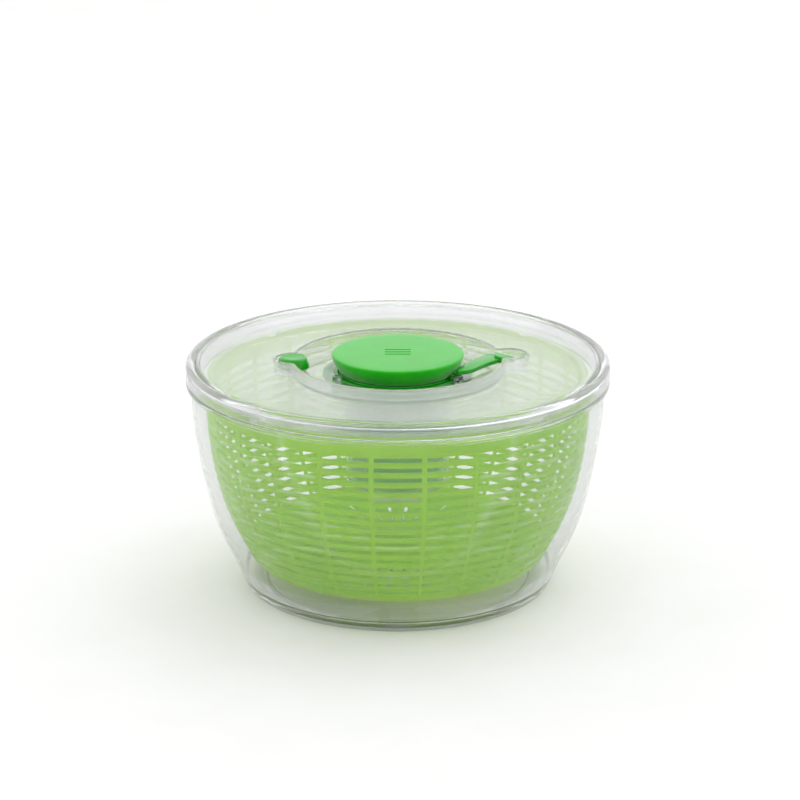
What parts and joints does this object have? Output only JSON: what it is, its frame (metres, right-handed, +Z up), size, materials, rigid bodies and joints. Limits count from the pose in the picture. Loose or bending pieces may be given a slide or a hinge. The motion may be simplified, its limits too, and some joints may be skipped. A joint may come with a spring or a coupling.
{
  "type": "salad spinner",
  "caption": "Round clear bowl with a slotted green spinning basket and a clear lid that has a locking push knob, a brake button and a finger recess.",
  "frame": {"origin": "middle of the foot ring, on the surface that the spinner stands on", "axes": "+Z up along the spin axis; +X towards the finger recess and the lock's thumb tab, -X towards the brake button; -Y is the front"},
  "size_m": [0.267, 0.267, 0.15],
  "materials": {
    "clear_plastic": "clear polished moulded styrene-acrylonitrile",
    "frosted_plastic": "frosted translucent polypropylene",
    "basket_green": "satin translucent green polypropylene",
    "soft_green": "matt soft-touch elastomer",
    "hard_green": "semi-gloss moulded plastic",
    "soft_grey": "soft non-slip elastomer",
    "acetal": "natural white low-friction acetal",
    "steel": "bright stainless steel"
  },
  "bodies": {
    "bowl": {"bowl": "clear_plastic", "foot_ring": "soft_grey"},
    "basket": {"basket": "basket_green"},
    "lid": {"lid": "clear_plastic", "mechanism_housing": "hard_green", "housing_screw_1": "steel", "housing_screw_2": "steel", "housing_screw_3": "steel", "guide_collar": "acetal", "bearing_bush": "acetal", "retaining_clip": "acetal", "return_spring": "steel", "brake_spring": "steel"},
    "knob": {"knob_cap": "soft_green", "knob_core": "hard_green", "knob_screw": "steel", "plunger": "hard_green", "helix_nut": "acetal"},
    "screw": {"drive_screw": "acetal", "clutch_driver": "acetal", "clutch_spring": "steel"},
    "disc": {"drive_disc": "frosted_plastic", "clutch_cup": "acetal"},
    "brake": {"brake_button": "hard_green", "brake_pad": "soft_grey"},
    "lock": {"lock_ring": "hard_green"}
  },
  "joints": [
    {"name": "basket_spin", "type": "hinge", "parent": "bowl", "child": "basket", "pos_m": [0, 0, 0.02], "axis": [0, 0, 1], "continuous": true},
    {"name": "lid_lift", "type": "slide", "parent": "bowl", "child": "lid", "axis": [0, 0, 1], "range_m": [0, 0.16]},
    {"name": "disc_spin", "type": "hinge", "parent": "lid", "child": "disc", "pos_m": [0, 0, 0.064], "axis": [0, 0, 1], "continuous": true},
    {"name": "knob_push", "type": "slide", "parent": "lid", "child": "knob", "axis": [0, 0, 1], "range_m": [0, 0.044], "deforming": ["return_spring"]},
    {"name": "screw_turn", "type": "hinge", "parent": "lid", "child": "screw", "pos_m": [0, 0, 0.068], "axis": [0, 0, 1], "range_deg": [-496, 0]},
    {"name": "brake_press", "type": "slide", "parent": "lid", "child": "brake", "axis": [0, 0, -1], "range_m": [0, 0.0022], "stiffness_N_per_m": 500, "springref_m": -0.002, "deforming": ["brake_spring"]},
    {"name": "lock_turn", "type": "hinge", "parent": "lid", "child": "lock", "pos_m": [0, 0, 0.136], "axis": [0, 0, 1], "range_deg": [0, 4]}
  ],
  "couplings": [
    {"joint": "disc_spin", "follows": "basket_spin", "ratio": 1},
    {"joint": "screw_turn", "follows": "knob_push", "rad_per_m": -196.35}
  ]
}
